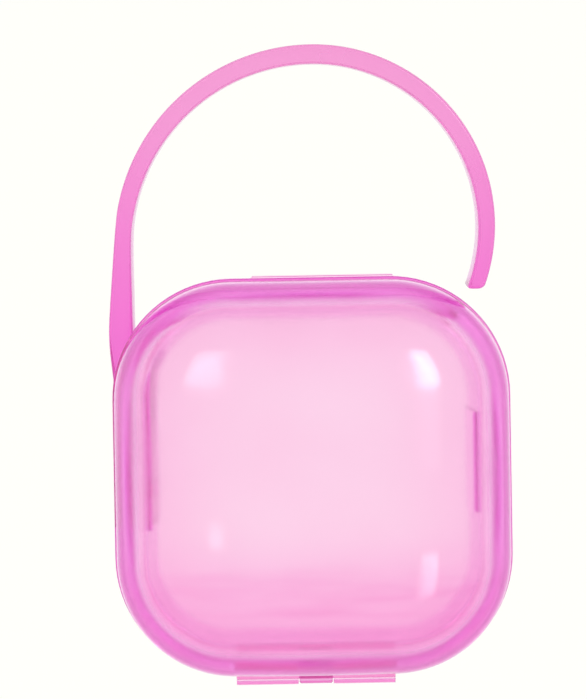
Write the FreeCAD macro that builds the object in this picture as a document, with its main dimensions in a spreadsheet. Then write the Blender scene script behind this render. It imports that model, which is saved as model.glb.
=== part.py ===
import FreeCAD, Part
import math
import os
import Sketcher

# Clamshell storage case for a baby's pacifier, with an open hook handle, in millimetres.
#
# Two clear moulded shells, 75 mm square with wide round corners, meet at a rim halfway through the depth:
# a pillow-shaped front shell, which is the lid, and a flat-backed rear shell. A pin through three knuckles
# under the case hinges them. A springy strap is snapped into a channel in the rear shell's left side, arches
# over the top and ends free, so that the case hooks on to a bar or a bag strap.
#
# Frame: +X to the right, +Y to the back, +Z up. The origin is under the middle of the hinge, on the
# surface that the case stands on. Every body is placed at the middle of the case, so the sketches and
# the heights called "rise" count from there.

# alias, value, meaning
DIMENSIONS = [
    ("case_size", 75.0, "width and height over the rim"),
    ("corner_radius", 22.6, "corner radius of the rim's outline"),
    ("rim_lip", 0.5, "how far the rim stands out from the wall"),
    ("rim_depth", 1.3, "thickness of each rim, front to back"),
    ("rim_round", 0.3, "rounding of the rim's outer edges"),
    ("wall", 1.8, "thickness of the front shell's crown and of the flat back"),
    ("side_wall", 3.4, "thickness of both shells' side walls"),
    ("half_gap", 0.1, "half of the gap between the two rims"),
    ("front_depth", 27.0, "parting plane to the front shell's crown"),
    ("crown_radius", 110.0, "radius of the front shell's crown"),
    ("front_round", 17.0, "rounding between the crown and the front shell's sides"),
    ("rear_depth", 26.0, "parting plane to the flat back"),
    ("rear_round", 3.4, "outside rounding round the flat back"),
    ("floor_round", 0.8, "inside rounding round the flat back"),
    ("rear_draft", 1.0, "draft of the rear shell's side walls, degrees"),
    ("tab_width", 27.0, "width of the thumb tab on the front shell's rim"),
    ("tab_shift", 2.4, "middle of the thumb tab, to the right of the case's middle"),
    ("tab_height", 0.5, "height of the thumb tab above the rim"),
    ("tab_depth", 1.0, "thickness of the thumb tab"),
    ("tab_round", 0.35, "rounding of the thumb tab's top corners"),
    ("hinge_height", 1.8, "hinge axis above the standing surface"),
    ("hinge_drop", 0.1, "hinge axis below the rims"),
    ("hinge_width", 30.0, "width over all three knuckles"),
    ("middle_width", 6.6, "width of the notch for the middle knuckle"),
    ("knuckle_gap", 0.15, "side gap between two knuckles"),
    ("knuckle_radius", 1.8, "outside radius of the outer knuckles"),
    ("middle_radius", 1.7, "outside radius of the middle knuckle"),
    ("swing_gap", 0.3, "gap round a knuckle where it turns past the other shell"),
    ("foot_depth", 3.0, "depth of the block under each outer knuckle"),
    ("foot_height", 3.6, "height of the same block"),
    ("pin_radius", 0.8, "radius of the hinge pin"),
    ("pin_fit", 0.05, "radial clearance of the pin in the middle knuckle"),
    ("pin_seat", 0.01, "radial clearance of the pin in the outer knuckles"),
    ("pin_round", 0.16, "rounding of the pin's ends"),
    ("apex_shift", 1.0, "top of the arch, to the right of the middle"),
    ("outer_apex", 81.4, "outside of the arch above the middle"),
    ("inner_apex", 77.7, "inside of the arch above the middle"),
    ("outer_left", 37.7, "outer radius of the arch's left half"),
    ("outer_right", 34.3, "outer radius of the arch's right half"),
    ("inner_left", 34.6, "inner radius of the arch's left half"),
    ("inner_right", 31.1, "inner radius of the arch's right half"),
    ("tip_rise", 34.7, "strap's free end above the middle"),
    ("leg_rise", 26.0, "lower end of the left leg above the middle"),
    ("leg_outer", 38.3, "outer face of the leg's lower end, from the middle"),
    ("leg_inner", 33.5, "inner face of the leg's lower end, from the middle"),
    ("root_outer", 36.9, "outer face of the strap's root, from the middle"),
    ("root_inner", 33.3, "inner face of the strap's root, from the middle"),
    ("root_rise", 9.0, "where the root starts to lean out, above the middle"),
    ("root_drop", 9.0, "lower end of the root, below the middle"),
    ("leg_bend", 40.0, "rounding where the leg turns in above that point"),
    ("tip_round", 1.1, "rounding of the strap's two ends"),
    ("strap_depth", 18.0, "width of the strap, front to back"),
    ("strap_back", 2.1, "front edge of the strap behind the parting plane"),
    ("strap_edge", 0.7, "rounding of the strap's long edges"),
    ("channel_gap", 0.12, "gap between the strap and its channel"),
    ("channel_wall", 0.8, "thickness of the channel's walls"),
    ("channel_rise", 22.5, "top of the channel's side walls above the middle"),
    ("channel_exit", 24.0, "top of the channel's inner wall above the middle"),
    ("pad_drop", 7.5, "lower end of the pad on the right wall, below the middle"),
    ("pad_height", 19.0, "height of that pad"),
    ("lug_size", 6.0, "front-to-back size of the lug that locks the strap in its channel"),
    ("lug_height", 3.0, "height of the lug"),
    ("lug_rise", -4.0, "lower edge of the lug above the middle of the case"),
    ("lug_reach", 0.8, "how far the lug stands out of the root"),
    ("lug_gap", 0.1, "gap round the lug in its window"),
]
SIZE = {alias: value for alias, value, meaning in DIMENSIONS}
MARGIN = 5.0  # how far a cutting tool runs past what it cuts
BITE = 0.5  # how far a small block runs into the wall that it joins or pierces
CROWN_REACH = 50.0  # half-width of the tool that cuts the crown, past the block's corners
LEG_ANGLE = math.radians(176)  # first guess of where the arch meets the leg; the sketch settles it
TOLERANCE = 1e-3
ORIGIN_POINT = (-1, 1)  # a sketch's own origin, in constraints

# Expressions used more than once
MIDDLE_HEIGHT = "dims.hinge_height + dims.hinge_drop + dims.case_size / 2"
WALL_HALF = "dims.case_size / 2 - dims.rim_lip"
WALL_CORNER = "dims.corner_radius - dims.rim_lip"
CAVITY_HALF = "dims.case_size / 2 - dims.rim_lip - dims.side_wall"
CAVITY_CORNER = "dims.corner_radius - dims.rim_lip - dims.side_wall"
AXIS_RISE = "-dims.case_size / 2 - dims.hinge_drop"
STRAP_MIDDLE = "dims.strap_back + dims.strap_depth / 2"

doc = FreeCAD.newDocument("pacifier_case")


def fill_sheet():
    """The driving dimensions, each in a cell with an alias."""
    sheet = doc.addObject("Spreadsheet::Sheet", "dims")
    for row, (alias, value, meaning) in enumerate(DIMENSIONS, start=1):
        sheet.set(f"A{row}", meaning)
        sheet.set(f"B{row}", str(value))
        sheet.setAlias(f"B{row}", alias)
    doc.recompute()


def new_body(label, back="0"):
    """An empty body at the middle of the case, moved back by the expression given."""
    body = doc.addObject("PartDesign::Body", label)
    body.Label = label
    body.setExpression("Placement.Base.y", back)
    body.setExpression("Placement.Base.z", MIDDLE_HEIGHT)
    return body


def new_sketch(body, name, role="XZ_Plane"):
    """A sketch on one of the body's own origin planes."""
    sketch = body.newObject("Sketcher::SketchObject", name)
    plane = [item for item in body.Origin.OriginFeatures if item.Role == role][0]
    sketch.AttachmentSupport = [(plane, "")]
    sketch.MapMode = "FlatFace"
    return sketch


def bind(sketch, kind, *arguments):
    """Adds a constraint whose value comes from the expression in the last argument."""
    *picks, value, expression = arguments
    index = sketch.addConstraint(Sketcher.Constraint(kind, *picks, value))
    sketch.setExpression(f"Constraints[{index}]", expression)


def fix_point(sketch, element, point, across, up):
    """Holds a point of a sketch at two expressions, counted from the sketch's origin."""
    place = sketch.getPoint(element, point)
    bind(sketch, "DistanceX", *ORIGIN_POINT, element, point, place.x, across)
    bind(sketch, "DistanceY", *ORIGIN_POINT, element, point, place.y, up)


def add_rounded_square(sketch, half, corner):
    """A square with round corners about the sketch's origin: four lines, then four arcs."""
    first = sketch.GeometryCount
    half_guess, corner_guess = SIZE["case_size"] / 2, SIZE["corner_radius"]
    inner = half_guess - corner_guess
    vector = FreeCAD.Vector
    lines = [
        ((-inner, -half_guess), (inner, -half_guess)),
        ((half_guess, -inner), (half_guess, inner)),
        ((inner, half_guess), (-inner, half_guess)),
        ((-half_guess, inner), (-half_guess, -inner)),
    ]
    for start, end in lines:
        sketch.addGeometry(Part.LineSegment(vector(*start, 0), vector(*end, 0)), False)
    centres = [(inner, -inner), (inner, inner), (-inner, inner), (-inner, -inner)]
    for turn, centre in enumerate(centres):
        circle = Part.Circle(vector(*centre, 0), vector(0, 0, 1), corner_guess)
        start = (turn - 1) * math.pi / 2
        sketch.addGeometry(Part.ArcOfCircle(circle, start, start + math.pi / 2), False)
    for turn in range(4):
        line, arc, following = first + turn, first + 4 + turn, first + (turn + 1) % 4
        sketch.addConstraint(Sketcher.Constraint("Tangent", line, 2, arc, 1))
        sketch.addConstraint(Sketcher.Constraint("Tangent", arc, 2, following, 1))
        sketch.addConstraint(Sketcher.Constraint("Horizontal" if turn % 2 == 0 else "Vertical", line))
    for arc in range(first + 5, first + 8):
        sketch.addConstraint(Sketcher.Constraint("Equal", first + 4, arc))
    bind(sketch, "Radius", first + 4, corner_guess, corner)
    bind(sketch, "DistanceY", *ORIGIN_POINT, first, 1, -half_guess, f"-({half})")
    bind(sketch, "DistanceY", *ORIGIN_POINT, first + 2, 1, half_guess, half)
    bind(sketch, "DistanceX", *ORIGIN_POINT, first + 1, 1, half_guess, half)
    bind(sketch, "DistanceX", *ORIGIN_POINT, first + 3, 1, -half_guess, f"-({half})")


def add_feature(body, kind, name, profile, length, to_the_back):
    """A pad or pocket of a sketch, with the length from an expression."""
    feature = body.newObject(f"PartDesign::{kind}", name)
    feature.Profile = profile
    feature.setExpression("Length", length)
    feature.Reversed = to_the_back
    profile.Visibility = False
    doc.recompute()
    return feature


def add_block(body, kind, name, low, size):
    """A box added to or cut from the body: the low corner and the three sizes are expressions."""
    block = body.newObject(f"PartDesign::{kind}Box", name)
    for side, expression in zip(("Length", "Width", "Height"), size):
        block.setExpression(side, expression)
    for axis, expression in zip("xyz", low):
        block.setExpression(f"Placement.Base.{axis}", expression)
    doc.recompute()
    return block


def add_cylinder(body, kind, name, low, radius, length):
    """A cylinder along +X, added to or cut from the body, that starts at the point given."""
    cylinder = body.newObject(f"PartDesign::{kind}Cylinder", name)
    cylinder.setExpression("Radius", radius)
    cylinder.setExpression("Height", length)
    cylinder.Placement = FreeCAD.Placement(
        FreeCAD.Vector(), FreeCAD.Rotation(FreeCAD.Vector(0, 1, 0), 90))
    for axis, expression in zip("xyz", low):
        cylinder.setExpression(f"Placement.Base.{axis}", expression)
    doc.recompute()
    return cylinder


def round_edges(body, name, wanted, radius):
    """Fillets the edges of the body's latest feature for which wanted(edge) is true."""
    base = body.Tip
    names = [f"Edge{index}" for index, edge in enumerate(base.Shape.Edges, start=1) if wanted(edge)]
    fillet = body.newObject("PartDesign::Fillet", name)
    fillet.Base = (base, names)
    fillet.setExpression("Radius", radius)
    base.Visibility = False
    doc.recompute()
    return fillet


def is_rim_edge(edge):
    """True for the outermost edges of a rim, on either of its two faces."""
    box = edge.BoundBox
    straight_half = SIZE["case_size"] / 2 - SIZE["corner_radius"]
    middle = edge.valueAt((edge.FirstParameter + edge.LastParameter) / 2)
    across = max(abs(middle.x) - straight_half, 0.0)
    up = max(abs(middle.z) - straight_half, 0.0)
    on_outline = abs(math.hypot(across, up) - SIZE["corner_radius"]) < TOLERANCE
    return on_outline and box.YMax - box.YMin < TOLERANCE


def add_rim(body, to_the_back):
    """The rim: a flat ring that stands out from the shell's wall."""
    sketch = new_sketch(body, body.Label + "_rim_outline")
    add_rounded_square(sketch, "dims.case_size / 2", "dims.corner_radius")
    add_rounded_square(sketch, CAVITY_HALF, CAVITY_CORNER)
    add_feature(body, "Pad", body.Label + "_rim", sketch, "dims.rim_depth", to_the_back)
    round_edges(body, body.Label + "_rim_round", is_rim_edge, "dims.rim_round")


def cut_crown(body, inset):
    """Cuts the block's front face to a shallow sphere."""
    shrink = SIZE["wall"] if inset != "0" else 0.0
    radius, depth = SIZE["crown_radius"] - shrink, SIZE["front_depth"] - shrink
    vector = FreeCAD.Vector
    centre = vector(radius - depth, 0, 0)
    rim_angle = math.pi - math.asin(CROWN_REACH / radius)
    rim = centre + vector(radius * math.cos(rim_angle), CROWN_REACH, 0)
    crown = vector(-depth, 0, 0)
    outside = vector(-depth - MARGIN, 0, 0)
    corner = vector(-depth - MARGIN, CROWN_REACH, 0)
    sketch = new_sketch(body, body.Label + "_crown_profile", "YZ_Plane")
    circle = Part.Circle(centre, vector(0, 0, 1), radius)
    sketch.addGeometry(Part.ArcOfCircle(circle, rim_angle, math.pi), False)
    for start, end in ((crown, outside), (outside, corner), (corner, rim)):
        sketch.addGeometry(Part.LineSegment(start, end), False)
    for first, following in ((0, 1), (1, 2), (2, 3), (3, 0)):
        sketch.addConstraint(Sketcher.Constraint("Coincident", first, 2, following, 1))
    sketch.addConstraint(Sketcher.Constraint("Horizontal", 1))
    sketch.addConstraint(Sketcher.Constraint("Vertical", 2))
    sketch.addConstraint(Sketcher.Constraint("Horizontal", 3))
    fix_point(sketch, 0, 3, "dims.crown_radius - dims.front_depth", "0")
    fix_point(sketch, 1, 1, f"{inset} - dims.front_depth", "0")
    bind(sketch, "DistanceX", *ORIGIN_POINT, 2, 1, outside.x, f"{inset} - dims.front_depth - {MARGIN}")
    bind(sketch, "DistanceY", *ORIGIN_POINT, 3, 1, CROWN_REACH, str(CROWN_REACH))
    before = body.Tip.Shape.Volume
    groove = body.newObject("PartDesign::Groove", body.Label + "_crown")
    groove.Profile = sketch
    groove.ReferenceAxis = (sketch, ["H_Axis"])
    groove.Angle = 360.0
    doc.recompute()
    if groove.Shape.Volume > before - 1:
        raise ValueError("the crown's groove cut nothing")


def add_pillow(body, side, crown, rounding):
    """A pillow-shaped block: side and crown are how far its walls and its front are moved in."""
    sketch = new_sketch(body, body.Label + "_outline")
    add_rounded_square(sketch, f"{WALL_HALF} - {side}", f"{WALL_CORNER} - {side}")
    add_feature(body, "Pad", body.Label + "_block", sketch, "dims.front_depth", False)
    cut_crown(body, crown)
    round_edges(body, body.Label + "_rounding", lambda edge: edge.BoundBox.YMax < -1.0, rounding)


def add_tray(body, side, back, rounding):
    """A tray-shaped block with drafted walls: side and back are how far its walls and back are moved in."""
    sketch = new_sketch(body, body.Label + "_outline")
    add_rounded_square(sketch, f"{WALL_HALF} - {side}", f"{WALL_CORNER} - {side}")
    pad = add_feature(body, "Pad", body.Label + "_block", sketch, f"dims.rear_depth - {back}", True)
    pad.setExpression("TaperAngle", "-dims.rear_draft")
    doc.recompute()
    end = pad.Shape.BoundBox.YMax
    round_edges(body, body.Label + "_rounding", lambda edge: edge.BoundBox.YMin > end - 0.1, rounding)


def hollow_out(body, name, add_block_shape, rounding):
    """Cuts a smaller block of the same kind out of the body, to leave its walls."""
    cavity = doc.addObject("PartDesign::Body", name)
    add_block_shape(cavity, "dims.side_wall", "dims.wall", rounding)
    hollow = body.newObject("PartDesign::Boolean", body.Label + "_hollow")
    hollow.setObjects([cavity])
    hollow.Type = "Cut"
    doc.recompute()


def make_front_shell():
    """The lid: a pillow-shaped shell with a thumb tab on top and the middle knuckle below."""
    body = new_body("front_shell", "-dims.half_gap")
    add_pillow(body, "0", "0", "dims.front_round")
    hollow_out(body, "front_cavity", add_pillow, "dims.front_round - dims.side_wall")
    add_rim(body, False)
    tab_front = "-(dims.rim_depth + dims.tab_depth) / 2"
    add_block(body, "Additive", "thumb_tab",
              ("dims.tab_shift - dims.tab_width / 2", tab_front, WALL_HALF),
              ("dims.tab_width", "dims.tab_depth", "dims.rim_lip + dims.tab_height"))
    round_edges(body, "thumb_tab_corners", is_tab_corner, "dims.tab_round")
    for name, side in (("left", "-dims.hinge_width / 2"), ("right", "dims.middle_width / 2")):
        add_cylinder(body, "Subtractive", f"{name}_knuckle_room",
                     (f"{side} - dims.knuckle_gap", "dims.half_gap", AXIS_RISE),
                     "dims.knuckle_radius + dims.swing_gap",
                     "(dims.hinge_width - dims.middle_width) / 2 + 2 * dims.knuckle_gap")
    add_cylinder(body, "Additive", "middle_knuckle",
                 ("-dims.middle_width / 2 + dims.knuckle_gap", "dims.half_gap", AXIS_RISE),
                 "dims.middle_radius", "dims.middle_width - 2 * dims.knuckle_gap")
    add_cylinder(body, "Subtractive", "middle_bore",
                 ("-dims.middle_width", "dims.half_gap", AXIS_RISE),
                 "dims.pin_radius + dims.pin_fit", "2 * dims.middle_width")
    return body


def is_tab_corner(edge):
    """True for the two front-to-back edges at the thumb tab's top corners."""
    box = edge.BoundBox
    top = SIZE["case_size"] / 2 + SIZE["tab_height"]
    return box.ZMin > top - TOLERANCE and box.XMax - box.XMin < TOLERANCE


def make_rear_shell():
    """The flat-backed tray, with the strap's channel and the hinge's two outer knuckles."""
    body = new_body("rear_shell", "dims.half_gap")
    add_tray(body, "0", "0", "dims.rear_round")
    hollow_out(body, "rear_cavity", add_tray, "dims.floor_round")
    add_rim(body, True)
    add_channel(body)
    add_outer_knuckles(body)
    return body


def add_channel(body):
    """The channel for the strap's root: a housing inside the left wall, cut open from outside."""
    front = "dims.strap_back - dims.half_gap - dims.channel_gap"
    depth = "dims.strap_depth + 2 * dims.channel_gap"
    bottom = "-dims.root_drop - dims.channel_gap"
    floor = "-dims.root_inner + dims.channel_gap"
    housing_front = f"{front} - dims.channel_wall"
    housing_depth = f"{depth} + 2 * dims.channel_wall"
    housing_bottom = f"{bottom} - dims.channel_wall"
    wide = f"{CAVITY_HALF} + {BITE} - dims.root_inner + dims.channel_gap + dims.channel_wall"
    add_block(body, "Additive", "channel_housing",
              (f"-({CAVITY_HALF}) - {BITE}", housing_front, housing_bottom),
              (wide, housing_depth, f"dims.channel_rise - ({housing_bottom})"))
    add_block(body, "Additive", "channel_inner_wall",
              (floor, housing_front, housing_bottom),
              ("dims.channel_wall", housing_depth, f"dims.channel_exit - ({housing_bottom})"))
    add_block(body, "Additive", "side_pad",
              (f"-({floor}) - dims.channel_wall", housing_front, "-dims.pad_drop"),
              (wide, housing_depth, "dims.pad_height"))
    add_block(body, "Subtractive", "channel_cut",
              (f"{floor} - {MARGIN}", front, bottom),
              (str(MARGIN), depth, "dims.case_size / 2 + dims.root_drop"))
    window_front = f"{STRAP_MIDDLE} - dims.half_gap - dims.lug_size / 2 - dims.lug_gap"
    add_block(body, "Subtractive", "lug_window",
              (f"{floor} - {BITE}", window_front, "dims.lug_rise - dims.lug_gap"),
              (f"dims.channel_wall + 2 * {BITE}", "dims.lug_size + 2 * dims.lug_gap",
               "dims.lug_height + 2 * dims.lug_gap"))


def add_outer_knuckles(body):
    """Two outer knuckles on square feet, with the notch between them and the bore for the pin."""
    width = "(dims.hinge_width - dims.middle_width) / 2"
    for name, side in (("left", "-dims.hinge_width / 2"), ("right", "dims.middle_width / 2")):
        add_cylinder(body, "Additive", f"{name}_knuckle", (side, "-dims.half_gap", AXIS_RISE),
                     "dims.knuckle_radius", width)
        add_block(body, "Additive", f"{name}_foot",
                  (side, "-dims.half_gap", f"{AXIS_RISE} - dims.hinge_height"),
                  (width, "dims.foot_depth", "dims.foot_height"))
    add_cylinder(body, "Subtractive", "middle_knuckle_room",
                 ("-dims.middle_width / 2", "-dims.half_gap", AXIS_RISE),
                 "dims.middle_radius + dims.swing_gap", "dims.middle_width")
    add_cylinder(body, "Subtractive", "pin_bore",
                 (f"-dims.hinge_width / 2 - {MARGIN}", "-dims.half_gap", AXIS_RISE),
                 "dims.pin_radius + dims.pin_seat", f"dims.hinge_width + 2 * {MARGIN}")


def make_hinge_pin():
    """The plain pin through the three knuckles."""
    body = new_body("hinge_pin")
    add_cylinder(body, "Additive", "pin_rod", ("-dims.hinge_width / 2", "0", AXIS_RISE),
                 "dims.pin_radius", "dims.hinge_width")
    round_edges(body, "pin_ends", lambda edge: edge.Curve.TypeId == "Part::GeomCircle", "dims.pin_round")
    return body


def strap_arc(side, half):
    """One half of the arch's outside or inside, from the size table."""
    radius = SIZE[f"{side}_{half}"]
    centre = FreeCAD.Vector(SIZE["apex_shift"], SIZE[f"{side}_apex"] - radius, 0)
    circle = Part.Circle(centre, FreeCAD.Vector(0, 0, 1), radius)
    if half == "left":
        return Part.ArcOfCircle(circle, math.pi / 2, LEG_ANGLE)
    return Part.ArcOfCircle(circle, math.asin((SIZE["tip_rise"] - centre.y) / radius), math.pi / 2)


def draw_face(sketch, side):
    """The lines of the strap's outside or inside face, from the free end to the root's lower end."""
    vector = FreeCAD.Vector
    foot = vector(-SIZE[f"leg_{side}"], SIZE["leg_rise"], 0)
    bend = vector(-SIZE[f"root_{side}"], SIZE["root_rise"], 0)
    root_end = vector(-SIZE[f"root_{side}"], -SIZE["root_drop"], 0)
    left, right = strap_arc(side, "left"), strap_arc(side, "right")
    rise, reach = foot.y - bend.y, bend.x - foot.x
    radius = (rise**2 + reach**2) / (2 * reach)
    lean = Part.Circle(bend - vector(radius, 0, 0), vector(0, 0, 1), radius)
    lines = {
        "right": right,
        "left": left,
        "leg": Part.LineSegment(left.EndPoint, foot),
        "lean": Part.ArcOfCircle(lean, 0, math.asin(rise / radius)),
        "root": Part.LineSegment(bend, root_end),
    }
    return {name: sketch.addGeometry(line, False) for name, line in lines.items()}


def hold_face(sketch, side, face):
    """Joins the lines of one face and binds their sizes."""
    left, right, leg, lean, root = (face[name] for name in ("left", "right", "leg", "lean", "root"))
    fix_point(sketch, left, 1, "dims.apex_shift", f"dims.{side}_apex")
    sketch.addConstraint(Sketcher.Constraint("Coincident", right, 2, left, 1))
    for half in ("left", "right"):
        bind(sketch, "Radius", face[half], SIZE[f"{side}_{half}"], f"dims.{side}_{half}")
        bind(sketch, "DistanceX", *ORIGIN_POINT, face[half], 3, SIZE["apex_shift"], "dims.apex_shift")
    sketch.addConstraint(Sketcher.Constraint("Tangent", left, 2, leg, 1))
    sketch.addConstraint(Sketcher.Constraint("Coincident", leg, 2, lean, 2))
    sketch.addConstraint(Sketcher.Constraint("Tangent", lean, 1, root, 1))
    fix_point(sketch, leg, 2, f"-dims.leg_{side}", "dims.leg_rise")
    fix_point(sketch, root, 1, f"-dims.root_{side}", "dims.root_rise")
    fix_point(sketch, root, 2, f"-dims.root_{side}", "-dims.root_drop")
    bind(sketch, "DistanceY", *ORIGIN_POINT, right, 1, SIZE["tip_rise"], "dims.tip_rise")


def draw_strap(sketch):
    """The strap's outline: its outside and inside faces, closed at the root and at the free end."""
    outer, inner = draw_face(sketch, "outer"), draw_face(sketch, "inner")
    ends = []
    for name, point, of_point in (("root", 2, "EndPoint"), ("right", 1, "StartPoint")):
        corners = [getattr(sketch.Geometry[face[name]], of_point) for face in (outer, inner)]
        ends.append((sketch.addGeometry(Part.LineSegment(*corners), False), name, point))
    hold_face(sketch, "outer", outer)
    hold_face(sketch, "inner", inner)
    for line, name, point in ends:
        sketch.addConstraint(Sketcher.Constraint("Coincident", line, 1, outer[name], point))
        sketch.addConstraint(Sketcher.Constraint("Coincident", line, 2, inner[name], point))


def crosses_at(*places):
    """A test for edges that run front to back through one of the (x, z) places given."""
    def wanted(edge):
        box = edge.BoundBox
        if box.XMax - box.XMin > TOLERANCE or box.ZMax - box.ZMin > TOLERANCE:
            return False
        return any(math.hypot(box.XMin - x, box.ZMin - z) < 10 * TOLERANCE for x, z in places)
    return wanted


def make_hook_handle():
    """The springy strap: root, leg and an arch that ends free above the right-hand corner."""
    body = new_body("hook_handle")
    sketch = new_sketch(body, "strap_outline")
    draw_strap(sketch)
    sketch.setExpression("AttachmentOffset.Base.z", "-dims.strap_back")
    add_feature(body, "Pad", "strap", sketch, "dims.strap_depth", True)
    legs = [(-SIZE[f"leg_{side}"], SIZE["leg_rise"]) for side in ("outer", "inner")]
    round_edges(body, "leg_bending", crosses_at(*legs), "dims.leg_bend")
    bottom = [(-SIZE[f"root_{side}"], -SIZE["root_drop"]) for side in ("outer", "inner")]
    free = []
    for side in ("outer", "inner"):
        radius = SIZE[f"{side}_right"]
        drop = SIZE[f"{side}_apex"] - radius - SIZE["tip_rise"]
        free.append((SIZE["apex_shift"] + math.sqrt(radius**2 - drop**2), SIZE["tip_rise"]))
    round_edges(body, "end_rounding", crosses_at(*bottom, *free), "dims.tip_round")
    round_edges(body, "edge_rounding", lambda edge: edge.BoundBox.YMax - edge.BoundBox.YMin < TOLERANCE,
                "dims.strap_edge")
    add_block(body, "Additive", "lug",
              (f"-dims.root_inner - {BITE}", f"{STRAP_MIDDLE} - dims.lug_size / 2", "dims.lug_rise"),
              (f"dims.lug_reach + {BITE}", "dims.lug_size", "dims.lug_height"))
    return body


def check_and_write(bodies):
    """Stops on any broken feature, then writes each body to a file named after its label."""
    os.makedirs("parts", exist_ok=True)
    for item in doc.Objects:
        if {"Invalid", "Error"} & set(item.State):
            raise ValueError(f"{item.Name} is {item.State}")
    for body in bodies:
        if body.Shape.isNull() or not body.Shape.isValid() or len(body.Shape.Solids) != 1:
            raise ValueError(f"{body.Label} has a bad shape")
        body.Shape.exportStep(f"parts/{body.Label}.step")
        print(body.Label, round(body.Shape.Volume, 1), body.Shape.BoundBox)


fill_sheet()
pieces = [
    make_front_shell(),
    make_rear_shell(),
    make_hook_handle(),
    make_hinge_pin(),
]
doc.recompute()
check_and_write(pieces)
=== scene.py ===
import math

import bmesh
import bpy
from mathutils import Matrix, Vector


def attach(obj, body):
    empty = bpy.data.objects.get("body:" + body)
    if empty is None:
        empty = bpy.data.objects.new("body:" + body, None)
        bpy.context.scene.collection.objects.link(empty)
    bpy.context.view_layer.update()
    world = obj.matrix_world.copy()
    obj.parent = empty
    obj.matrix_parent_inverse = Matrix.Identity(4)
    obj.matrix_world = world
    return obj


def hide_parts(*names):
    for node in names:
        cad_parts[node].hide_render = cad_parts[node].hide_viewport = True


# A translucent pink storage case for a pacifier, in metres. The two shells and the strap are built here as
# smooth closed meshes that stand for their CAD nodes, because clear plastic shows every facet. The hinge pin
# keeps its CAD mesh. The sizes repeat those of part.py.

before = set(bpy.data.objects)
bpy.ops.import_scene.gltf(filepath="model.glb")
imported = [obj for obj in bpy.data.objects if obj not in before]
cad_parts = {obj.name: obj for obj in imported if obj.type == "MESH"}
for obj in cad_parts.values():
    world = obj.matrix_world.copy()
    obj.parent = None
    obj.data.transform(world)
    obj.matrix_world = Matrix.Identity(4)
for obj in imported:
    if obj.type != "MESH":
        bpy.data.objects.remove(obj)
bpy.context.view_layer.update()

MM = 0.001

# The case, as in part.py
CASE_HALF = 37.5 * MM
CORNER = 22.6 * MM
RIM_LIP = 0.5 * MM
RIM_DEPTH = 1.3 * MM
RIM_ROUND = 0.3 * MM
WALL = 1.8 * MM
SIDE_WALL = 3.4 * MM
DRAFT = math.radians(1.0)
HALF_GAP = 0.1 * MM
FRONT_DEPTH = 27.0 * MM
CROWN_RADIUS = 110.0 * MM
FRONT_ROUND = 17.0 * MM
REAR_DEPTH = 26.0 * MM
REAR_ROUND = 3.4 * MM
FLOOR_ROUND = 0.8 * MM
AXIS_HEIGHT = 1.8 * MM
HINGE_DROP = 0.1 * MM
MIDDLE = AXIS_HEIGHT + HINGE_DROP + CASE_HALF
HINGE_HALF = 15.0 * MM
NOTCH_HALF = 3.3 * MM
KNUCKLE_GAP = 0.15 * MM
KNUCKLE_RADIUS = 1.8 * MM
MIDDLE_RADIUS = 1.7 * MM
SWING_GAP = 0.3 * MM
FOOT_DEPTH = 3.0 * MM
FOOT_HEIGHT = 3.6 * MM
PIN_RADIUS = 0.8 * MM
PIN_GRIP_GAP = 0.01 * MM
PIN_TURN_GAP = 0.05 * MM
KNUCKLE_BEVEL = 0.2 * MM
BITE = 0.5 * MM
CUT_MARGIN = 1.0 * MM
TAB_HALF = 13.5 * MM
TAB_SHIFT = 2.4 * MM
TAB_HEIGHT = 0.5 * MM
TAB_DEPTH = 1.0 * MM
TAB_SETBACK = 0.15 * MM
TAB_ROOT = 0.3 * MM
TAB_BEVEL = 0.3 * MM
PAD_LOW = -7.5 * MM
PAD_HIGH = 11.5 * MM

# The strap, as in part.py
APEX_SHIFT = 1.0 * MM
STRAP_FRONT = 2.1 * MM
STRAP_DEPTH = 18.0 * MM
STRAP_EDGE = 0.7 * MM
CHANNEL_GAP = 0.12 * MM
CHANNEL_WALL = 0.8 * MM
ROOT_INNER = 33.3 * MM
ROOT_DROP = 9.0 * MM
CHANNEL_RISE = 22.5 * MM
LUG_Y = STRAP_FRONT + STRAP_DEPTH / 2
LUG_HALF = 3.0 * MM
LUG_LOW = -4.0 * MM
LUG_HEIGHT = 3.0 * MM
LUG_REACH = 0.8 * MM
LUG_BEVEL = 0.1 * MM
WINDOW_GAP = 0.1 * MM
CHANNEL_EXIT = 24.0 * MM
CHANNEL_REACH = 5.0 * MM

# How finely the meshes are divided, and from what angle their edges stay sharp
CORNER_STEPS = 20
SIDE_STEPS = 10
WALL_STEPS = 6
RIM_STEPS = 5
BEVEL_STEPS = 3
ROD_SIDES = 48
SHELL_CREASE = 35.0
STRAP_CREASE = 60.0
SAME_PLACE = 1e-7


def rounded_square():
    """Points (x, z) of the rim's outline with their inward normals, anticlockwise seen from the front."""
    straight = CASE_HALF - CORNER
    points = []
    for quarter in range(4):
        start = quarter * math.pi / 2
        along = Vector((-math.sin(start), math.cos(start)))
        out = Vector((math.cos(start), math.sin(start)))
        for step in range(SIDE_STEPS):
            place = (2 * step / SIDE_STEPS - 1) * straight
            points.append((out * CASE_HALF + along * place, -out))
        centre = (out + along) * straight
        for step in range(CORNER_STEPS):
            angle = start + step / CORNER_STEPS * math.pi / 2
            outward = Vector((math.cos(angle), math.sin(angle)))
            points.append((centre + outward * CORNER, -outward))
    return points


OUTLINE = rounded_square()


def wall_ring(inset, depth):
    """A ring of the case's outline moved in by inset, at that depth behind the parting plane."""
    return [Vector((p.x + n.x * inset, depth, MIDDLE + p.y + n.y * inset)) for p, n in OUTLINE]


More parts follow.
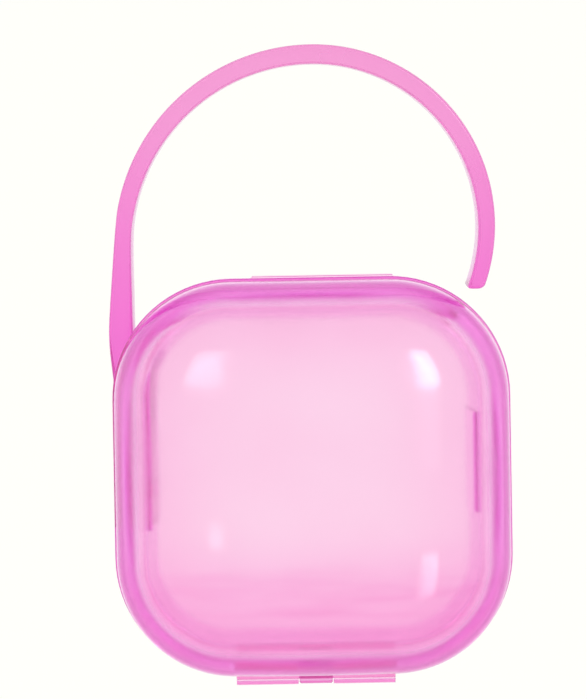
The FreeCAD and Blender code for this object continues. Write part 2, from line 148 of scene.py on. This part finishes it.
def arc_rings(inset, depth, radius, start, end, steps):
    """Rings round an edge, its arc centred at (inset, depth). In degrees, 0 is outward and 90 backward."""
    rings = []
    for step in range(steps + 1):
        angle = math.radians(start + (end - start) * step / steps)
        rings.append(wall_ring(inset - radius * math.cos(angle), depth + radius * math.sin(angle)))
    return rings


def crown_rings(inset, side, steps_arc=16, steps_crown=20):
    """The pillow's rings from the wall, round the edge and over the crown towards its middle."""
    radius = CROWN_RADIUS - inset
    centre_y = CROWN_RADIUS - FRONT_DEPTH - HALF_GAP
    ball = FRONT_ROUND - side
    rings = [[] for _ in range(steps_arc + 1 + steps_crown)]
    for p, n in OUTLINE:
        spine = p + n * (RIM_LIP + side + ball)
        y = centre_y - math.sqrt((radius - ball) ** 2 - spine.length_squared)
        centre = Vector((spine.x, y, spine.y))
        outward = Vector((-n.x, 0.0, -n.y))
        normal = (centre - Vector((0.0, centre_y, 0.0))).normalized()
        for step in range(steps_arc + 1):
            t = step / steps_arc
            direction = outward.slerp(normal, t)
            rings[step].append(centre + direction * ball)
        last = rings[steps_arc][-1]
        for step in range(steps_crown):
            t = 1.0 - (step + 1) / (steps_crown + 1)
            x, z = last.x * t, last.z * t
            y = centre_y - math.sqrt(radius**2 - x * x - z * z)
            rings[steps_arc + 1 + step].append(Vector((x, y, z)))
    for ring in rings:
        for point in ring:
            point.z += MIDDLE
    tip = Vector((0.0, centre_y - radius, MIDDLE))
    return rings, tip


def between(first, second, t):
    """The ring part of the way from one ring to another."""
    return [a.lerp(b, t) for a, b in zip(first, second)]


def drafted_edge(inset, end, radius, steps=10):
    """Rings round the edge between the rear shell's drafted wall and a flat face at that depth."""
    depth = end - radius
    centre = inset + (depth + radius * math.sin(DRAFT)) * math.tan(DRAFT) + radius * math.cos(DRAFT)
    return arc_rings(centre, depth, radius, math.degrees(DRAFT), 90, steps)


def flat_rings(outer, depth, steps=8):
    """Rings that close a flat back in towards its middle from the ring given."""
    rings = []
    for step in range(steps):
        t = 1.0 - (step + 1) / (steps + 1)
        rings.append([Vector((v.x * t, depth, MIDDLE + (v.z - MIDDLE) * t)) for v in outer])
    return rings, Vector((0.0, depth, MIDDLE))


def loft(rings, first_tip, last_tip):
    """A mesh through the rings in order, closed at each end by a fan to a tip."""
    mesh = bmesh.new()
    rows = [[mesh.verts.new(point) for point in ring] for ring in rings]
    count = len(rows[0])
    for row, following in zip(rows, rows[1:]):
        for i in range(count):
            j = (i + 1) % count
            mesh.faces.new((row[i], row[j], following[j], following[i]))
    for tip, row in ((first_tip, rows[0]), (last_tip, rows[-1])):
        point = mesh.verts.new(tip)
        for i in range(count):
            mesh.faces.new((row[i], row[(i + 1) % count], point))
    bmesh.ops.recalc_face_normals(mesh, faces=mesh.faces)
    return mesh


def as_object(mesh, name):
    """Turns a bmesh into an object of the scene."""
    data = bpy.data.meshes.new(name)
    mesh.to_mesh(data)
    mesh.free()
    made = bpy.data.objects.new(name, data)
    bpy.context.scene.collection.objects.link(made)
    return made


def block(name, low, high, bevel=0.0):
    """A box between two corners, as a cutter or an addition."""
    mesh = bmesh.new()
    bmesh.ops.create_cube(mesh, size=1.0)
    low, high = Vector(low), Vector(high)
    for vert in mesh.verts:
        vert.co = Vector(low[i] if vert.co[i] < 0 else high[i] for i in range(3))
    if bevel:
        bmesh.ops.bevel(mesh, geom=mesh.edges[:], offset=bevel, segments=BEVEL_STEPS, affect="EDGES")
    return as_object(mesh, name)


def rod(name, low_x, high_x, y, z, radius, bevel=0.0):
    """A round bar along X, as a cutter or an addition."""
    mesh = bmesh.new()
    turned = Matrix.Translation((0.5 * (low_x + high_x), y, z)) @ Matrix.Rotation(math.pi / 2, 4, "Y")
    bmesh.ops.create_cone(mesh, cap_ends=True, segments=ROD_SIDES, radius1=radius, radius2=radius,
                          depth=high_x - low_x, matrix=turned)
    if bevel:
        ends = [edge for edge in mesh.edges if abs(edge.verts[0].co.x - edge.verts[1].co.x) < SAME_PLACE]
        bmesh.ops.bevel(mesh, geom=ends, offset=bevel, segments=BEVEL_STEPS, affect="EDGES")
    return as_object(mesh, name)


def combine(target, tools):
    """Applies each (operation, tool) to the target with an exact boolean, and removes the tools."""
    for operation, tool in tools:
        modifier = target.modifiers.new("boolean", "BOOLEAN")
        modifier.operation = operation
        modifier.solver = "EXACT"
        modifier.object = tool
        graph = bpy.context.evaluated_depsgraph_get()
        result = bpy.data.meshes.new_from_object(target.evaluated_get(graph))
        target.modifiers.clear()
        old = target.data
        target.data = result
        bpy.data.meshes.remove(old)
        bpy.data.objects.remove(tool, do_unlink=True)


def smooth(target, angle):
    """Smooth shading that keeps edges sharper than the angle."""
    for face in target.data.polygons:
        face.use_smooth = True
    target.data.set_sharp_from_angle(angle=math.radians(angle))


def rim_rings(front, back):
    """Rings round the rim's rounded edge, from its front face to its back face."""
    rings = arc_rings(RIM_ROUND, front + RIM_ROUND, RIM_ROUND, -90, 0, RIM_STEPS)
    return rings + arc_rings(RIM_ROUND, back - RIM_ROUND, RIM_ROUND, 0, 90, RIM_STEPS)


def shares(steps):
    """The shares of the way at which a wall gets a ring between its two ends."""
    return [step / steps for step in range(1, steps)]


def make_front_shell():
    """The lid, one closed skin: crown, edge, wall and rim outside, and the same inside."""
    wall, cavity = RIM_LIP, RIM_LIP + SIDE_WALL
    front, back = -HALF_GAP - RIM_DEPTH, -HALF_GAP
    outside, tip = crown_rings(0.0, 0.0)
    inside, inner_tip = crown_rings(WALL, SIDE_WALL)
    rings = list(reversed(outside))
    for t in shares(WALL_STEPS):
        rings.append([Vector((p.x, p.y + (front - p.y) * t, p.z)) for p in outside[0]])
    rings.append(wall_ring(wall, front))
    rings += rim_rings(front, back)
    rings.append(wall_ring(cavity, back))
    for t in shares(WALL_STEPS):
        rings.append([Vector((p.x, back + (p.y - back) * t, p.z)) for p in inside[0]])
    rings += inside
    shell = as_object(loft(rings, tip, inner_tip), "front_shell_skin")
    tab_front = back - RIM_DEPTH + TAB_SETBACK
    tab_low = MIDDLE + CASE_HALF - RIM_LIP - TAB_ROOT
    tab_high = MIDDLE + CASE_HALF + TAB_HEIGHT
    tools = []
    for side in (-1, 1):
        ends = sorted((side * (HINGE_HALF + KNUCKLE_GAP), side * (NOTCH_HALF - KNUCKLE_GAP)))
        tools.append(("DIFFERENCE", rod("cut", *ends, 0.0, AXIS_HEIGHT, KNUCKLE_RADIUS + SWING_GAP)))
    tools.append(("UNION", block("tab", (TAB_SHIFT - TAB_HALF, tab_front, tab_low),
                                 (TAB_SHIFT + TAB_HALF, tab_front + TAB_DEPTH, tab_high), TAB_BEVEL)))
    tools.append(("UNION", rod("knuckle", -NOTCH_HALF + KNUCKLE_GAP, NOTCH_HALF - KNUCKLE_GAP, 0.0,
                               AXIS_HEIGHT, MIDDLE_RADIUS, KNUCKLE_BEVEL)))
    tools.append(("DIFFERENCE", rod("bore", -NOTCH_HALF - CUT_MARGIN, NOTCH_HALF + CUT_MARGIN, 0.0,
                                    AXIS_HEIGHT, PIN_RADIUS + PIN_TURN_GAP)))
    combine(shell, tools)
    return shell


def make_rear_shell():
    """The tray, one closed skin with its rim, then the strap's channel and the hinge."""
    wall, cavity = RIM_LIP, RIM_LIP + SIDE_WALL
    front, back = HALF_GAP, HALF_GAP + RIM_DEPTH
    end = HALF_GAP + REAR_DEPTH
    outer_edge = drafted_edge(wall, end, REAR_ROUND)
    inner_edge = drafted_edge(cavity, end - WALL, FLOOR_ROUND)
    outer_flat, outer_tip = flat_rings(outer_edge[-1], end)
    inner_flat, inner_tip = flat_rings(inner_edge[-1], end - WALL)
    rings = list(reversed(outer_flat)) + list(reversed(outer_edge))
    outer_start = wall_ring(wall + back * math.tan(DRAFT), back)
    inner_start = wall_ring(cavity + back * math.tan(DRAFT), back)
    rings += [between(outer_edge[0], outer_start, t) for t in shares(WALL_STEPS)]
    rings.append(outer_start)
    rings += reversed(rim_rings(front, back))
    rings.append(wall_ring(cavity, front))
    rings.append(inner_start)
    rings += [between(inner_start, inner_edge[0], t) for t in shares(WALL_STEPS)]
    rings += inner_edge + inner_flat
    shell = as_object(loft(rings, outer_tip, inner_tip), "rear_shell_skin")
    floor = -ROOT_INNER + CHANNEL_GAP
    low_y, high_y = STRAP_FRONT - CHANNEL_GAP, STRAP_FRONT + STRAP_DEPTH + CHANNEL_GAP
    low_z = MIDDLE - ROOT_DROP - CHANNEL_GAP
    inner_wall = CASE_HALF - cavity
    wall_y = (low_y - CHANNEL_WALL, high_y + CHANNEL_WALL)
    wall_low = low_z - CHANNEL_WALL
    window_low = MIDDLE + LUG_LOW - WINDOW_GAP
    window_high = MIDDLE + LUG_LOW + LUG_HEIGHT + WINDOW_GAP
    tools = [
        ("UNION", block("housing", (-inner_wall - BITE, wall_y[0], wall_low),
                        (floor + CHANNEL_WALL, wall_y[1], MIDDLE + CHANNEL_RISE))),
        ("UNION", block("channel_wall", (floor, wall_y[0], wall_low),
                        (floor + CHANNEL_WALL, wall_y[1], MIDDLE + CHANNEL_EXIT))),
        ("UNION", block("side_pad", (-floor - CHANNEL_WALL, wall_y[0], MIDDLE + PAD_LOW),
                        (inner_wall + BITE, wall_y[1], MIDDLE + PAD_HIGH))),
        ("DIFFERENCE", block("channel", (floor - CHANNEL_REACH, low_y, low_z),
                             (floor, high_y, MIDDLE + CASE_HALF))),
        ("DIFFERENCE", block("window", (floor - BITE, LUG_Y - LUG_HALF - WINDOW_GAP, window_low),
                             (floor + CHANNEL_WALL + BITE, LUG_Y + LUG_HALF + WINDOW_GAP, window_high))),
    ]
    for side in (-1, 1):
        ends = sorted((side * HINGE_HALF, side * NOTCH_HALF))
        tools.append(("UNION", rod("knuckle", *ends, 0.0, AXIS_HEIGHT, KNUCKLE_RADIUS, KNUCKLE_BEVEL)))
        tools.append(("UNION", block("foot", (ends[0], 0.0, 0.0), (ends[1], FOOT_DEPTH, FOOT_HEIGHT))))
    tools.append(("DIFFERENCE", rod("room", -NOTCH_HALF, NOTCH_HALF, 0.0, AXIS_HEIGHT,
                                    MIDDLE_RADIUS + SWING_GAP)))
    tools.append(("DIFFERENCE", rod("bore", -HINGE_HALF - CUT_MARGIN, HINGE_HALF + CUT_MARGIN, 0.0,
                                    AXIS_HEIGHT, PIN_RADIUS + PIN_GRIP_GAP)))
    combine(shell, tools)
    return shell


# ---- the strap ----

# Its side view is drawn in the plane of its faces, as distances (x, rise) in millimetres from the case's
# middle. Each face goes from the root up a leaning leg and round an arch of two radii to the free end.
OUTER_FACE = {"foot": (-38.3, 26.0), "root": (-36.9, 9.0), "apex": 81.4, "left": 37.7, "right": 34.3}
INNER_FACE = {"foot": (-33.5, 26.0), "root": (-33.3, 9.0), "apex": 77.7, "left": 34.6, "right": 31.1}
FREE_END = 34.7
END_ROUND = 0.9
END_STEPS = 6
ROOT_STEPS = 12
LEAN_STEPS = 16
LEG_STEPS = 16
ARCH_STEPS = 64
EASED_FROM = 20
EASED_TO = 48
EASING_ROUNDS = 14
EDGE_STEPS = 6
FLATTEST_EDGE = 0.95
LEAST_SPACING = 0.2


def circle_arc(centre, radius, start, end, steps):
    """Points (x, rise) on a circle between two angles in radians."""
    angles = [start + (end - start) * i / steps for i in range(steps + 1)]
    return [Vector((centre.x + radius * math.cos(a), centre.y + radius * math.sin(a))) for a in angles]


def straight_run(start, end, steps):
    """Points (x, rise) on a straight line."""
    return [start.lerp(end, i / steps) for i in range(steps + 1)]


def strap_line(foot, root, apex, left, right):
    """One long face of the strap, from the root's lower end to the free end, in millimetres."""
    foot, root = Vector(foot), Vector(root)
    bottom = Vector((root.x, -ROOT_DROP / MM))
    reach = root.x - foot.x
    rise = foot.y - root.y
    lean_radius = (rise**2 + reach**2) / (2 * reach)
    lean_centre = root - Vector((lean_radius, 0.0))
    lean = circle_arc(lean_centre, lean_radius, 0.0, math.asin(rise / lean_radius), LEAN_STEPS)
    centre = Vector((APEX_SHIFT / MM, apex - left))
    towards = foot - centre
    angle = math.atan2(towards.y, towards.x) % (2 * math.pi) - math.acos(left / towards.length)
    touch = centre + Vector((math.cos(angle), math.sin(angle))) * left
    arch_left = circle_arc(centre, left, angle, math.pi / 2, ARCH_STEPS)
    right_centre = Vector((APEX_SHIFT / MM, apex - right))
    last = math.asin((FREE_END - right_centre.y) / right)
    arch_right = circle_arc(right_centre, right, math.pi / 2, last, ARCH_STEPS)
    line = straight_run(bottom, root, ROOT_STEPS) + lean[1:] + straight_run(foot, touch, LEG_STEPS)[1:]
    line += arch_left[1:] + arch_right[1:]
    for _ in range(EASING_ROUNDS):
        middles = [(a + b * 2 + c) / 4 for a, b, c in zip(line, line[1:], line[2:])]
        eased = [line[0]] + middles + [line[-1]]
        line = line[:EASED_FROM] + eased[EASED_FROM:EASED_TO] + line[EASED_TO:]
    return line


def strap_section(outer, inner, shrink):
    """A ring round the strap at one station: a rectangle with round edges, drawn in by shrink."""
    across = outer - inner
    half = across.length / 2 - shrink
    middle = (outer + inner) / 2
    direction = across.normalized()
    low = STRAP_FRONT / MM + shrink
    high = (STRAP_FRONT + STRAP_DEPTH) / MM - shrink
    edge = min(STRAP_EDGE / MM, half * FLATTEST_EDGE)
    corners = ((1, low + edge), (1, high - edge), (-1, high - edge), (-1, low + edge))
    ring = []
    for corner, (side, y) in enumerate(corners):
        for step in range(EDGE_STEPS + 1):
            angle = math.pi / 2 * (corner - 1 + step / EDGE_STEPS)
            place = middle + direction * ((half - edge) * side + edge * math.cos(angle))
            ring.append(Vector((place.x * MM, (y + edge * math.sin(angle)) * MM, MIDDLE + place.y * MM)))
    return ring


def make_hook_handle():
    """The strap, lofted along its outer and inner faces, with rounded ends."""
    outer = strap_line(**OUTER_FACE)
    inner = strap_line(**INNER_FACE)
    last = len(outer) - 1
    first_gap = (outer[1] - outer[0]).length
    last_gap = (outer[-1] - outer[-2]).length

    def section(t, shrink=0.0):
        """The strap's ring at t, counted in points along its faces."""
        k = min(int(t), last - 1)
        return strap_section(outer[k].lerp(outer[k + 1], t - k), inner[k].lerp(inner[k + 1], t - k), shrink)

    round_end = []
    for step in range(END_STEPS + 1):
        angle = math.pi / 2 * step / END_STEPS
        round_end.append((END_ROUND * (1 - math.cos(angle)), END_ROUND * (1 - math.sin(angle))))
    first_whole = math.ceil(END_ROUND / first_gap + LEAST_SPACING)
    last_whole = math.floor(last - END_ROUND / last_gap - LEAST_SPACING)
    rings = [section(inward / first_gap, shrink) for inward, shrink in round_end]
    rings += [section(k) for k in range(first_whole, last_whole + 1)]
    rings += [section(last - inward / last_gap, shrink) for inward, shrink in reversed(round_end)]
    tips = []
    for end in (0, -1):
        middle = (outer[end] + inner[end]) / 2
        tips.append(Vector((middle.x * MM, STRAP_FRONT + STRAP_DEPTH / 2, MIDDLE + middle.y * MM)))
    strap = as_object(loft(rings, *tips), "hook_handle_skin")
    lug = block("lug", (-ROOT_INNER - BITE, LUG_Y - LUG_HALF, MIDDLE + LUG_LOW),
                (-ROOT_INNER + LUG_REACH, LUG_Y + LUG_HALF, MIDDLE + LUG_LOW + LUG_HEIGHT), LUG_BEVEL)
    combine(strap, [("UNION", lug)])
    return strap


# ---- materials ----

# The plastic's surface: noise scales are per metre, and heights are in metres.
PLASTIC_IOR = 1.49
WAVE_SCALE = 55.0
WAVE_HEIGHT = 0.03 * MM
MARK_SCALE = 900.0
MARK_HEIGHT = 0.0002 * MM
SMUDGE_SCALE = 90.0
SHELL_CLOUD_SCALE = 45.0
STRAP_CLOUD_SCALE = 70.0
STREAK_SCALE = 70.0
STREAK_STRETCH = (0.45, 1.0, 4.0)

# The noise values between which smudges, clouds and streaks come in
SMUDGE_RANGE = (0.35, 0.7)
CLOUD_RANGE = (0.35, 0.75)
STREAK_RANGE = (0.48, 0.66)

# Where a tint comes in and where it is full: sideways in centimetres, and the others as heights. The side,
# low and root fades place painted shade.
SIDE_SHADE_FADE = (1.2, 3.0)
LOW_SHADE_FADE = (-9 * MM, -27 * MM)
STREAK_FADE = (-14 * MM, -22 * MM)
ROOT_SHADE_FADE = (82 * MM, 20 * MM)

# What light keeps of each colour. The shells' first tint is all over them, and the others come on top. The
# side, low, knuckle and root tints are painted shade.
SHELL_TINT = (1.0, 0.895, 0.94)
SIDE_SHADE_TINT = (0.998, 0.935, 0.975)
LOW_SHADE_TINT = (0.995, 0.87, 0.965)
SHELL_CLOUD_TINT = (1.0, 0.97, 0.985)
STREAK_TINT = (0.985, 0.90, 0.96)
KNUCKLE_SHADE_TINT = (0.90, 0.60, 0.84)
STRAP_TINT = (1.0, 1.0, 0.99)
ROOT_SHADE_TINT = (0.99, 0.47, 0.975)
STRAP_CLOUD_TINT = (1.0, 0.94, 0.985)

# What the plastic's body absorbs: a colour, and a density per metre.
SHELL_BODY = ((0.953, 0.017, 0.91), 62.0)
STRAP_BODY = ((0.935, 0.062, 0.71), 65.0)
SHELL_ROUGHNESS = (0.09, 0.13)
STRAP_ROUGHNESS = (0.20, 0.28)

# The Mix node's sockets for colours
MIX_FACTOR = 0
MIX_FIRST = 6
MIX_SECOND = 7
MIX_RESULT = 2


def add_math(tree, operation, *values):
    """A Math node on the values given, each a number or an output."""
    node = tree.nodes.new("ShaderNodeMath")
    node.operation = operation
    for socket, value in zip(node.inputs, values):
        if isinstance(value, (int, float)):
            socket.default_value = value
        else:
            tree.links.new(value, socket)
    return node.outputs["Value"]


def add_noise(tree, place, scale, detail, stretch=(1.0, 1.0, 1.0)):
    """Noise over the piece, at a scale per metre, drawn out along the axes with a small stretch value."""
    mapping = tree.nodes.new("ShaderNodeMapping")
    mapping.inputs["Scale"].default_value = stretch
    noise = tree.nodes.new("ShaderNodeTexNoise")
    noise.inputs["Scale"].default_value = scale
    noise.inputs["Detail"].default_value = detail
    tree.links.new(place, mapping.inputs["Vector"])
    tree.links.new(mapping.outputs["Vector"], noise.inputs["Vector"])
    return noise.outputs["Fac"]


def fade(tree, amount, start, end, low=0.0, high=1.0):
    """Goes smoothly from low to high while the amount goes from start to end."""
    node = tree.nodes.new("ShaderNodeMapRange")
    node.interpolation_type = "SMOOTHSTEP"
    values = (("From Min", start), ("From Max", end), ("To Min", low), ("To Max", high))
    for socket, value in values:
        node.inputs[socket].default_value = value
    tree.links.new(amount, node.inputs["Value"])
    return node.outputs["Result"]


def deepen(tree, colour, amount, tint):
    """The colour, multiplied by the tint as far as the amount says."""
    node = tree.nodes.new("ShaderNodeMix")
    node.data_type = "RGBA"
    node.blend_type = "MULTIPLY"
    tree.links.new(amount, node.inputs[MIX_FACTOR])
    if isinstance(colour, tuple):
        node.inputs[MIX_FIRST].default_value = (*colour, 1.0)
    else:
        tree.links.new(colour, node.inputs[MIX_FIRST])
    node.inputs[MIX_SECOND].default_value = (*tint, 1.0)
    return node.outputs[MIX_RESULT]


def add_bump(tree, height, distance, normal=None):
    """Bump of the height given, at a distance in metres, on top of another bump if there is one."""
    node = tree.nodes.new("ShaderNodeBump")
    node.inputs["Strength"].default_value = 1.0
    node.inputs["Distance"].default_value = distance
    tree.links.new(height, node.inputs["Height"])
    if normal is not None:
        tree.links.new(normal, node.inputs["Normal"])
    return node.outputs["Normal"]


def clear_plastic(name, body, paint, roughness):
    """Clear tinted plastic: a coloured body, faint moulding waves, fine handling marks and uneven gloss."""
    tint_colour, density = body
    material = bpy.data.materials.new(name)
    material.use_nodes = True
    tree = material.node_tree
    shader = tree.nodes["Principled BSDF"]
    shader.inputs["Transmission Weight"].default_value = 1.0
    shader.inputs["IOR"].default_value = PLASTIC_IOR
    place = tree.nodes.new("ShaderNodeTexCoord").outputs["Object"]
    waves = add_noise(tree, place, WAVE_SCALE, 1.0)
    marks = add_noise(tree, place, MARK_SCALE, 3.0)
    normal = add_bump(tree, waves, WAVE_HEIGHT)
    normal = add_bump(tree, marks, MARK_HEIGHT, normal)
    tree.links.new(normal, shader.inputs["Normal"])
    smudges = add_noise(tree, place, SMUDGE_SCALE, 3.0)
    tree.links.new(fade(tree, smudges, *SMUDGE_RANGE, *roughness), shader.inputs["Roughness"])
    tree.links.new(paint(tree, place), shader.inputs["Base Color"])
    tint = tree.nodes.new("ShaderNodeVolumeAbsorption")
    tint.inputs["Color"].default_value = (*tint_colour, 1.0)
    tint.inputs["Density"].default_value = density
    tree.links.new(tint.outputs["Volume"], tree.nodes["Material Output"].inputs["Volume"])
    return material


def split_place(tree, place):
    """How far to the right of the case's middle a place is, and how far above it."""
    split = tree.nodes.new("ShaderNodeSeparateXYZ")
    tree.links.new(place, split.inputs["Vector"])
    return split.outputs["X"], add_math(tree, "SUBTRACT", split.outputs["Z"], MIDDLE)


def shell_colour(tree, place):
    """The shells' tint, with painted shade deepening it towards the side walls and the base, and cloudy flow
    marks low down.
    """
    across, rise = split_place(tree, place)
    # The distance from the middle in centimetres, along rounded squares like the case's outline
    parts = [add_math(tree, "DIVIDE", value, 10 * MM) for value in (across, rise)]
    fourths = [add_math(tree, "POWER", part, 4.0) for part in parts]
    from_middle = add_math(tree, "POWER", add_math(tree, "ADD", *fourths), 0.25)
    clouds = add_noise(tree, place, SHELL_CLOUD_SCALE, 2.0)
    streaks = add_noise(tree, place, STREAK_SCALE, 3.0, STREAK_STRETCH)
    low_down = fade(tree, rise, *STREAK_FADE)
    # Painted shade: the tint deepens towards the side walls and towards the base.
    colour = deepen(tree, SHELL_TINT, fade(tree, from_middle, *SIDE_SHADE_FADE), SIDE_SHADE_TINT)
    colour = deepen(tree, colour, fade(tree, rise, *LOW_SHADE_FADE), LOW_SHADE_TINT)
    colour = deepen(tree, colour, fade(tree, clouds, *CLOUD_RANGE), SHELL_CLOUD_TINT)
    flow = add_math(tree, "MULTIPLY", low_down, fade(tree, streaks, *STREAK_RANGE))
    colour = deepen(tree, colour, flow, STREAK_TINT)
    # Painted shade: the hinge's middle knuckle, under the case between the outer knuckles, is darker.
    aside = add_math(tree, "ABSOLUTE", across)
    in_width = add_math(tree, "LESS_THAN", aside, NOTCH_HALF - 0.5 * KNUCKLE_GAP)
    under_case = add_math(tree, "LESS_THAN", rise, -CASE_HALF)
    return deepen(tree, colour, add_math(tree, "MULTIPLY", in_width, under_case), KNUCKLE_SHADE_TINT)


def strap_colour(tree, place):
    """The strap's tint, with painted shade deepening it down its leg to the root, and soft flow marks."""
    rise = split_place(tree, place)[1]
    clouds = add_noise(tree, place, STRAP_CLOUD_SCALE, 2.0)
    # Painted shade: the strap darkens lower down, towards its root.
    colour = deepen(tree, STRAP_TINT, fade(tree, rise, *ROOT_SHADE_FADE), ROOT_SHADE_TINT)
    return deepen(tree, colour, fade(tree, clouds, *CLOUD_RANGE), STRAP_CLOUD_TINT)


def put(target, material):
    """Gives the object one material."""
    target.data.materials.clear()
    target.data.materials.append(material)


shell_plastic = clear_plastic("pink_clear_plastic", SHELL_BODY, shell_colour, SHELL_ROUGHNESS)
strap_plastic = clear_plastic("pink_cloudy_plastic", STRAP_BODY, strap_colour, STRAP_ROUGHNESS)

front = make_front_shell()
rear = make_rear_shell()
strap = make_hook_handle()
for piece, node, body, material, sharp in (
        (front, "front_shell", "lid", shell_plastic, SHELL_CREASE),
        (rear, "rear_shell", "case_back", shell_plastic, SHELL_CREASE),
        (strap, "hook_handle", "case_back", strap_plastic, STRAP_CREASE)):
    smooth(piece, sharp)
    put(piece, material)
    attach(piece, body)
    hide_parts(node)
put(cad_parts["hinge_pin"], shell_plastic)


# ---- floor, light and camera, in metres ----

FLOOR_DROP = 0.11
FLOOR_HALF_WIDTH = 3.0
FLOOR_NEAR = -2.0
SWEEP_RADIUS = 0.5
SWEEP_STEPS = 16
BACKDROP_PLACE = 1.2
BACKDROP_HEIGHT = 2.5
STUDIO_COLOUR = (0.2, 0.2, 0.195)
STUDIO_GLOW_COLOUR = (1.0, 1.0, 0.95)
STUDIO_GLOW = 0.78
STUDIO_ROUGHNESS = 0.9
LIGHT_DISTANCE = 0.90
LIGHT_BOUNCES = 64

# The photograph's view: from a little above, and tilted by a degree
VIEW_DISTANCE = 1.0
EYE_RISE = 67.0 * MM
VIEW_SHIFT = -3.2 * MM
VIEW_RISE = 23.93 * MM
VIEW_HEIGHT = 131.72 * MM
VIEW_ROLL = math.radians(-1.0)
SENSOR_HEIGHT = 24.0
VIEW_LIMIT = 20.0


def studio_white():
    """A matt white that glows a little, so that the floor shows no shadows, as in the photograph."""
    material = bpy.data.materials.new("studio_white")
    material.use_nodes = True
    shader = material.node_tree.nodes["Principled BSDF"]
    shader.inputs["Base Color"].default_value = (*STUDIO_COLOUR, 1.0)
    shader.inputs["Roughness"].default_value = STUDIO_ROUGHNESS
    shader.inputs["Emission Color"].default_value = (*STUDIO_GLOW_COLOUR, 1.0)
    shader.inputs["Emission Strength"].default_value = STUDIO_GLOW
    return material


def make_floor():
    """A plain white sweep, a floor that curves up into a backdrop, far enough below for the lid to open.

    The case is shown as if it hung by its hook. The floor isn't seen in reflections, so that the two low
    windows, which stand below its level, are reflected in the front shell.
    """
    mesh = bmesh.new()
    bend = BACKDROP_PLACE - SWEEP_RADIUS
    profile = [(FLOOR_NEAR, 0.0), (bend, 0.0)]
    for step in range(1, SWEEP_STEPS + 1):
        angle = math.pi / 2 * step / SWEEP_STEPS
        profile.append((bend + SWEEP_RADIUS * math.sin(angle), SWEEP_RADIUS - SWEEP_RADIUS * math.cos(angle)))
    profile.append((BACKDROP_PLACE, BACKDROP_HEIGHT))
    rows = [[mesh.verts.new((x, y, z)) for x in (-FLOOR_HALF_WIDTH, FLOOR_HALF_WIDTH)] for y, z in profile]
    for row, following in zip(rows, rows[1:]):
        mesh.faces.new((row[0], row[1], following[1], following[0]))
    floor = as_object(mesh, "studio_sweep")
    floor.location.z = -FLOOR_DROP
    floor.visible_glossy = False
    smooth(floor, SHELL_CREASE)
    put(floor, studio_white())


def add_light(name, x, rise, size, power):
    """A soft window in front of the case, aimed at its middle: its place, width and height, and watts."""
    data = bpy.data.lights.new(name, "AREA")
    data.shape = "RECTANGLE"
    data.size, data.size_y = size
    data.energy = power
    light = bpy.data.objects.new(name, data)
    bpy.context.scene.collection.objects.link(light)
    place = Vector((x, -LIGHT_DISTANCE, MIDDLE + rise))
    light.location = place
    light.rotation_euler = (Vector((0.0, 0.0, MIDDLE)) - place).to_track_quat("-Z", "Y").to_euler()


def add_world():
    """Even white light from all round."""
    world = bpy.data.worlds.new("studio_air")
    world.use_nodes = True
    world.node_tree.nodes["Background"].inputs["Color"].default_value = (1.0, 1.0, 1.0, 1.0)
    world.node_tree.nodes["Background"].inputs["Strength"].default_value = 1.0
    bpy.context.scene.world = world


def add_camera():
    """The camera, from the photograph's side."""
    data = bpy.data.cameras.new("camera")
    data.sensor_fit = "VERTICAL"
    data.sensor_height = SENSOR_HEIGHT
    data.lens = SENSOR_HEIGHT * VIEW_DISTANCE / VIEW_HEIGHT
    data.clip_end = VIEW_LIMIT
    camera = bpy.data.objects.new("camera", data)
    bpy.context.scene.collection.objects.link(camera)
    bpy.context.scene.camera = camera
    eye = Vector((VIEW_SHIFT, -VIEW_DISTANCE, MIDDLE + EYE_RISE))
    frame_middle = Vector((VIEW_SHIFT, 0.0, MIDDLE + VIEW_RISE))
    look = (frame_middle - eye).to_track_quat("-Z", "Y").to_matrix().to_4x4()
    camera.matrix_world = Matrix.Translation(eye) @ look @ Matrix.Rotation(VIEW_ROLL, 4, "Z")


make_floor()
add_light("window_left", -0.42, 0.44, (0.20, 0.27), 0.55)
add_light("window_right", 0.47, 0.42, (0.15, 0.27), 0.85)
add_light("tall_right", 0.45, 0.2006, (0.12, 0.46), 0.10)
add_light("low_left", -0.34, -0.235, (0.05, 0.09), 0.065)
add_light("low_right", 0.43, -0.42, (0.07, 0.18), 0.30)
add_world()
add_camera()

bpy.context.scene.view_settings.view_transform = "Standard"
bpy.context.scene.view_settings.look = "None"
# Light that is reflected inside the thick walls uses up glossy bounces, and too few leave grey lines there.
light_paths = bpy.context.scene.cycles
light_paths.max_bounces = LIGHT_BOUNCES
light_paths.transmission_bounces = LIGHT_BOUNCES
light_paths.glossy_bounces = LIGHT_BOUNCES
